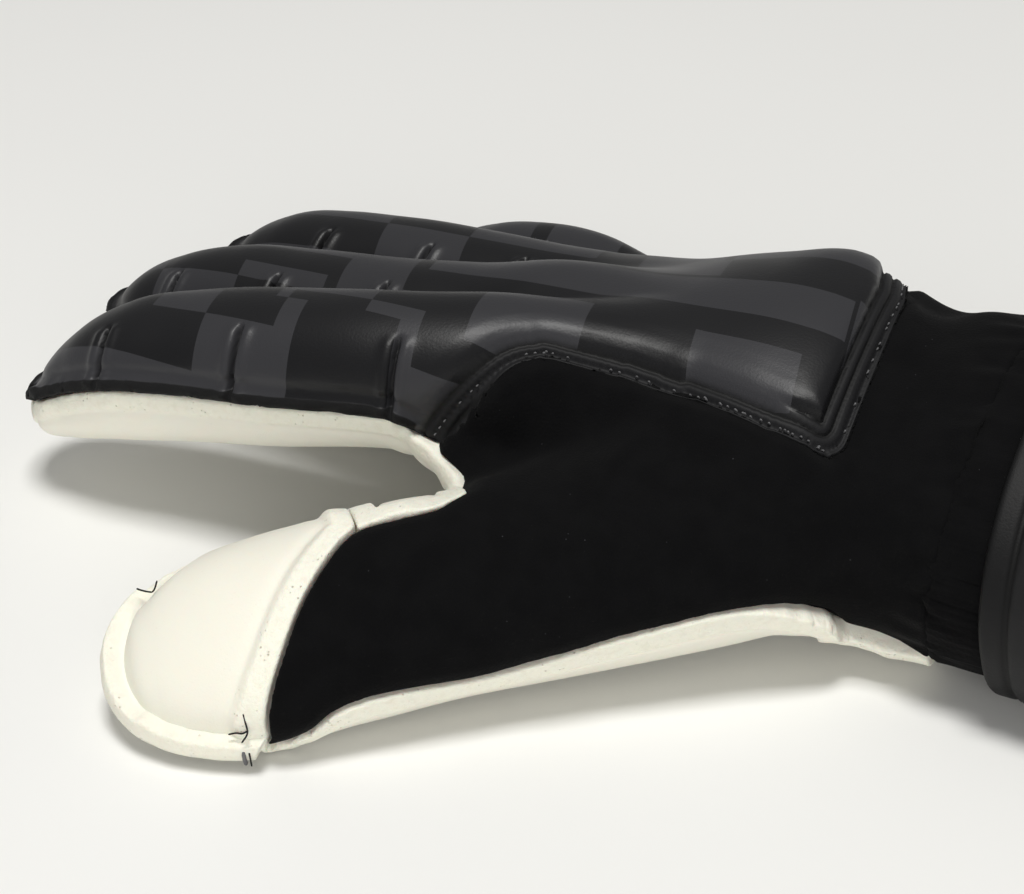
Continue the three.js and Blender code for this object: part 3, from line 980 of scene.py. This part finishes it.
def makeFabric():
    def outside(points):
        return gloveField(*points.T) > -1.6

    def atSeam(points):
        return outside(points) & (seamDistance(*points.T) < 1.2)

    points, faces = netPiece(fabricField, (-3, -132, 2), (109.5, 60, 62), 1.3, (outside, atSeam))
    x, y, z = points.T
    outer = smoothStep(-1.4, -0.5, gloveField(x, y, z))
    above = seamDistance(x, y, z)
    near = distanceToLine(points, panelRim)
    wrist = 1 - smoothStep(80, 96, x)
    lift = 0.7 * smoothStep(0, 3.5, above) * smoothStep(1.0, 5, near) * wrist
    lift -= 1.6 * (1 - smoothStep(0.2, 4, near))
    for hx, hy, hz, size, depth in fabricSettings["hollows"]:
        lift -= depth * bell(np.sqrt((x - hx) ** 2 + (y - hy) ** 2 + (z - hz) ** 2), size)
    lift += 0.3 * waves(x, y, z, 31, 22)
    gather = smoothStep(95, 106, x)
    lift += gather * 0.7 * waves(x * 0.25, y, z, 33, 6)
    normal = outwardNormals(points)
    return makeMesh("bodyFabric", points + normal * (lift * outer)[:, None], faces)


def clothFinish(name, colour, lint, knit=0.55, rough=0.92):
    m = Finish(name, Roughness=rough, Specular_IOR_Level=0.1, Sheen_Weight=0.02, Sheen_Roughness=0.5)
    specks = m.dots(2.6).smooth(0.05, 0.03) * m.noise(9, 1).smooth(0.55, 0.6)
    base = m.mix(m.noise(6, 3).smooth(0.3, 0.7), shade(*colour), shade(*[v + 3 for v in colour]))
    m.feed("Base Color", m.mix(specks, base, shade(*lint)))
    m.bump(m.dots(knit) * 0.6 + m.noise(0.3, 2) * 0.4, 0.12)
    return m


bodyFabric = makeFabric()
clothFinish("knit fabric", fabricSettings["colour"], fabricSettings["lint"]).onto(bodyFabric)
print("body fabric made", len(bodyFabric.data.polygons))


# The wrist: an elastic cuff and the strap round it, both lofted round the hand's last sections
wristSettings = {
    "cuff": {"start": 104.0, "end": 166.0, "wall": 2.4, "tuck": 3.6, "ribHeight": 0.25, "gather": 1.0},
    "strap": {"start": 118.0, "end": 158.0, "gap": 0.3, "wall": 3.0, "border": 5.0, "slant": 3.4},
    "sides": 220,
    "cuffColour": (8, 8, 9),
    "strapColour": (20, 20, 21),
    "strapBorder": (13, 13, 14),
}


def wristPoint(x, turn, grow):
    read = lambda name: np.interp(-x, hand.at, hand.fine[name])
    power = 2 / shapeSettings["squareness"]
    c, s = np.cos(turn), np.sin(turn)
    height = np.where(s > 0, read("top"), read("bottom"))
    u = np.sign(c) * np.abs(c) ** power * (read("half") + grow)
    v = np.sign(s) * np.abs(s) ** power * (height + grow)
    roll = read("roll")
    side = read("across") + u * np.cos(roll) - v * np.sin(roll)
    z = read("z") + v * np.cos(roll) + u * np.sin(roll)
    return x, -side, np.maximum(z, 0.02)


def wristLoft(name, rows, marks):
    # Rows are stations round the wall: its x, how far it stands off the section, and any relief
    sides = wristSettings["sides"]
    turn = np.linspace(0, 2 * math.pi, sides, endpoint=False)
    points, values = [], {key: [] for key in marks}
    for row in rows:
        station = row["x"] + row.get("shift", 0) * np.sin(turn)
        x, y, z = wristPoint(station, turn, row["grow"] + row.get("relief", 0 * turn))
        points.append(np.column_stack([x, y, z]))
        for key in marks:
            values[key].append(np.full(sides, row.get(key, 0.0)))
    faces = []
    for j in range(len(rows)):
        after = (j + 1) % len(rows)
        for i in range(sides):
            k = (i + 1) % sides
            faces.append((j * sides + i, j * sides + k, after * sides + k, after * sides + i))
    values = {key: np.concatenate(v) for key, v in values.items()}
    return makeMesh(name, np.concatenate(points), faces, values)


def makeCuff():
    c = wristSettings["cuff"]
    turn = np.linspace(0, 2 * math.pi, wristSettings["sides"], endpoint=False)
    rows = []
    for x in np.arange(c["start"], c["end"] + 0.01, 0.6):
        tucked = max(c["start"] + c["tuck"] - x, 0) * 0.55
        free = min(1, (c["end"] - x) / 1.2)
        ridge = np.sin(turn * 95) * c["ribHeight"]
        folds = np.sin(turn * 31 + x * 0.4) + 0.6 * np.sin(turn * 47 + x * 0.7 + 2)
        gathered = 0.35 * c["gather"] * math.exp(-(x - c["start"]) / 5) * folds
        rows.append({"x": x, "grow": -0.5 * (1 - free) - tucked, "relief": ridge + gathered})
    for x in np.arange(c["end"] - 0.3, c["start"], -2.4):
        rows.append({"x": x, "grow": -c["wall"], "relief": np.sin(turn * 95) * c["ribHeight"]})
    return wristLoft("wristCuff", rows, [])


def makeStrap():
    s = wristSettings["strap"]
    outerOff = s["gap"] + s["wall"]
    rows = []
    for x in np.arange(s["start"], s["end"] + 0.01, 0.5):
        edge = min(x - s["start"], s["end"] - x)
        rounded = -1.3 * (1 - math.sqrt(max(0, 1 - (1 - min(edge / 1.4, 1)) ** 2)))
        groove = -0.8 * math.exp(-((edge - s["border"]) / 0.55) ** 2)
        crown = 0.5 * (1 - math.exp(-max(edge - s["border"], 0) / 3))
        shift = -s["slant"] * (s["end"] - x) / (s["end"] - s["start"])
        rows.append({"x": x, "grow": outerOff - 0.5 + rounded + groove + crown, "edge": edge, "shift": shift})
    for x in np.arange(s["end"] - 0.4, s["start"] + 0.3, -2.0):
        shift = -s["slant"] * (s["end"] - x) / (s["end"] - s["start"])
        rows.append({"x": x, "grow": s["gap"], "edge": 1.0, "shift": shift})
    return wristLoft("wristStrap", rows, ["edge"])


def strapFinish():
    m = Finish("strap", Roughness=0.6, Specular_IOR_Level=0.3)
    w = wristSettings
    body = m.attribute("edge").smooth(w["strap"]["border"] - 0.4, w["strap"]["border"] + 0.4)
    lighter = shade(*[v + 4 for v in w["strapColour"]])
    colour = m.mix(m.noise(7, 3).smooth(0.3, 0.7), shade(*w["strapColour"]), lighter)
    colour = m.mix(body, shade(*w["strapBorder"]), colour)
    # Painted shade: the groove beside the strap's border is darkened in colour
    strapGrooveShade = 1 - (m.attribute("edge") - w["strap"]["border"]).absolute().smooth(0.2, 0.9)
    m.feed("Base Color", m.mix(strapGrooveShade * 0.7, colour, shade(10, 10, 10)))
    m.bump(m.noise(0.45, 3) * 0.6 + m.noise(2.5, 2) * 0.4, 0.09)
    return m


wristCuff = makeCuff()
wristStrap = makeStrap()
clothFinish("elastic", wristSettings["cuffColour"], (60, 60, 62), knit=0.8).onto(wristCuff)
strapFinish().onto(wristStrap)
print("wrist made", len(wristCuff.data.polygons), len(wristStrap.data.polygons))


# Thread: stitches round the panel's border, and loose ends at the thumb
threadSettings = {
    "pitch": 1.7,
    "length": 0.55,
    "thickness": 0.3,
    "inward": 0.12,
    "shown": 0.45,         # the needle's thread shows only here and there
    "heights": (-1.9, -1.35, -1.9),
    "colour": (120, 120, 122),
    "tailThickness": 0.34,
    "tails": [
        [(-23.7, -112.6, 21.8), (-23, -112.3, 21.5), (-21.5, -112.5, 21.8), (-19.9, -112.9, 22.4)],
        [(-19.9, -112.9, 22.4), (-19.8, -112.2, 22.8), (-20.2, -110.8, 23.6)],
        [(7.5, -124.8, 12.6), (7.8, -124.9, 11.4), (8.2, -125.1, 10.4), (8.6, -125.4, 9.7)],
        [(5.3, -126.7, 8.5), (6.5, -126.0, 8.8), (7.8, -125.9, 9.1), (8.8, -125.4, 9.8)],
        [(8.7, -125.4, 9.7), (8.9, -126.2, 9.2), (8.2, -126.8, 7.8)],
        [(8.9, -125.8, 5.1), (8.7, -125.3, 3.3), (8.9, -125.3, 1.7)],
    ],
    "greyEnd": [(8.0, -126.2, 5.6), (7.8, -125.9, 3.6), (8.2, -125.9, 2.2)],
}


def threadTube(path, radius, sides=6):
    # The points and faces of a thread along a path, closed at both ends
    path = np.array(path, float)
    points, faces = [], []
    for k, centre in enumerate(path):
        along = path[min(k + 1, len(path) - 1)] - path[max(k - 1, 0)]
        along /= np.linalg.norm(along)
        across = np.cross(along, (0.3, 0.2, 0.9))
        across /= np.linalg.norm(across)
        up = np.cross(along, across)
        r = radius * (0.55 if k in (0, len(path) - 1) else 1)
        for i in range(sides):
            turn = 2 * math.pi * i / sides
            points.append(centre + r * (across * math.cos(turn) + up * math.sin(turn)))
    for k in range(len(path) - 1):
        for i in range(sides):
            a, b = k * sides + i, k * sides + (i + 1) % sides
            faces.append([a, b, b + sides, a + sides])
    faces.append(list(range(sides))[::-1])
    faces.append([(len(path) - 1) * sides + i for i in range(sides)])
    return points, faces


def smoothPath(points, steps=6):
    points = np.array(points, float)
    knots = np.arange(len(points), dtype=float)
    at = np.linspace(0, len(points) - 1, (len(points) - 1) * steps + 1)
    return np.column_stack([hermite(knots, points[:, k], at) for k in range(3)])


def joined(name, parts):
    points, faces = [], []
    for some, loops in parts:
        faces += [[len(points) + i for i in loop] for loop in loops]
        points += list(some)
    return makeMesh(name, np.array(points), faces)


def makeStitches():
    t = threadSettings
    rim = panelRim[panelRim[:, 0] > 1]
    lengths = np.concatenate([[0], np.cumsum(np.linalg.norm(np.diff(rim, axis=0), axis=1))])
    parts = []
    for centre in np.arange(3, lengths[-1] - 2, t["pitch"]):
        ends = []
        for off in (-0.5, 0, 0.5):
            at = centre + off * t["length"]
            ends.append([np.interp(at, lengths, rim[:, k]) for k in range(3)])
        ends = np.array(ends)
        normal = outwardNormals(ends)
        inward = np.cross(normal, ends[2] - ends[0])
        inward /= np.maximum(np.linalg.norm(inward, axis=1, keepdims=True), 1e-6)
        toward = 1 if panelInside(*(ends[1] + inward[1])[:2]) > panelInside(*ends[1][:2]) else -1
        ends += inward * toward * t["inward"]
        ends -= gloveField(*ends.T)[:, None] * normal
        if rng.random() < 1 - t["shown"]:
            continue
        path = ends + normal * np.array(t["heights"])[:, None]
        parts.append(threadTube(smoothPath(path, 3), t["thickness"] / 2))
    parts.append(threadTube(smoothPath(t["greyEnd"]), 0.4))
    return joined("panelStitches", parts)


def makeTails():
    t = threadSettings
    parts = [threadTube(smoothPath(path), t["tailThickness"] / 2) for path in t["tails"]]
    return joined("threadTails", parts)


def threadFinish(name, colour):
    m = Finish(name, Roughness=0.6, Specular_IOR_Level=0.4)
    m.feed("Base Color", m.mix(m.noise(1.5, 1), shade(*colour), shade(*[v * 0.6 for v in colour])))
    m.bump(m.noise(0.2, 1), 0.05)
    return m


panelStitches = makeStitches()
threadFinish("stitch thread", threadSettings["colour"]).onto(panelStitches)
threadTails = makeTails()
threadFinish("loose thread", (16, 16, 16)).onto(threadTails)
print("thread made")


# The studio: a pale floor that runs into the background, a soft lamp overhead and a wide one in front
studioSettings = {
    "floor": (240, 240, 238),
    "lamps": {
        "overhead": {"place": (120, -260, 1950), "size": 560, "power": 28.0, "glossy": True},
        "front": {"place": (560, -1240, 330), "size": 1000, "power": 9.5, "glossy": False},
    },
    "lampColour": (1.0, 0.99, 0.965),
    "skyStrength": 0.2,
}


def makeStudio():
    s = studioSettings
    reach = 4.0
    mesh = bpy.data.meshes.new("floor")
    mesh.from_pydata([(-reach, -reach, 0), (reach, -reach, 0), (reach, reach, 0), (-reach, reach, 0)], [],
                     [(0, 1, 2, 3)])
    floor = bpy.data.objects.new("floor", mesh)
    bpy.context.scene.collection.objects.link(floor)
    m = Finish("floor", Roughness=0.75, Specular_IOR_Level=0.2)
    m.feed("Base Color", m.mix(m.noise(160, 1), shade(*s["floor"]), shade(*[v - 3 for v in s["floor"]])))
    m.onto(floor)
    for name, lampSettings in s["lamps"].items():
        data = bpy.data.lights.new(name, "AREA")
        data.energy = lampSettings["power"]
        data.size = lampSettings["size"] * metre
        data.color = s["lampColour"]
        lamp = bpy.data.objects.new(name, data)
        bpy.context.scene.collection.objects.link(lamp)
        lamp.location = toFrame(lampSettings["place"])
        lamp.rotation_euler = (lamp.location - toFrame((20, -40, 10))).to_track_quat("Z", "Y").to_euler()
        lamp.visible_glossy = lampSettings["glossy"]
    world = bpy.data.worlds.new("studio")
    bpy.context.scene.world = world
    world.use_nodes = True
    background = world.node_tree.nodes["Background"]
    background.inputs["Color"].default_value = (1.0, 1.0, 1.0, 1)
    background.inputs["Strength"].default_value = s["skyStrength"]
    bpy.context.scene.view_settings.view_transform = "Standard"


makeStudio()

slots = [
    (palmLatex, "latex_foam", "palm_latex"),
    (thumbCap, "latex_foam", "thumb_cap"),
    (backPanel, "moulded_back", "backhand_panel"),
    (bodyFabric, "knit_fabric", "body_fabric"),
    (wristCuff, "elastic_cuff", "wrist_cuff"),
    (wristStrap, "strap_webbing", "wrist_strap"),
    (panelStitches, "knit_fabric", None),
    (threadTails, "knit_fabric", None),
]
for piece, slot, node in slots:
    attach(piece, "root")
    if node:
        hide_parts(node)
print("glove finished")
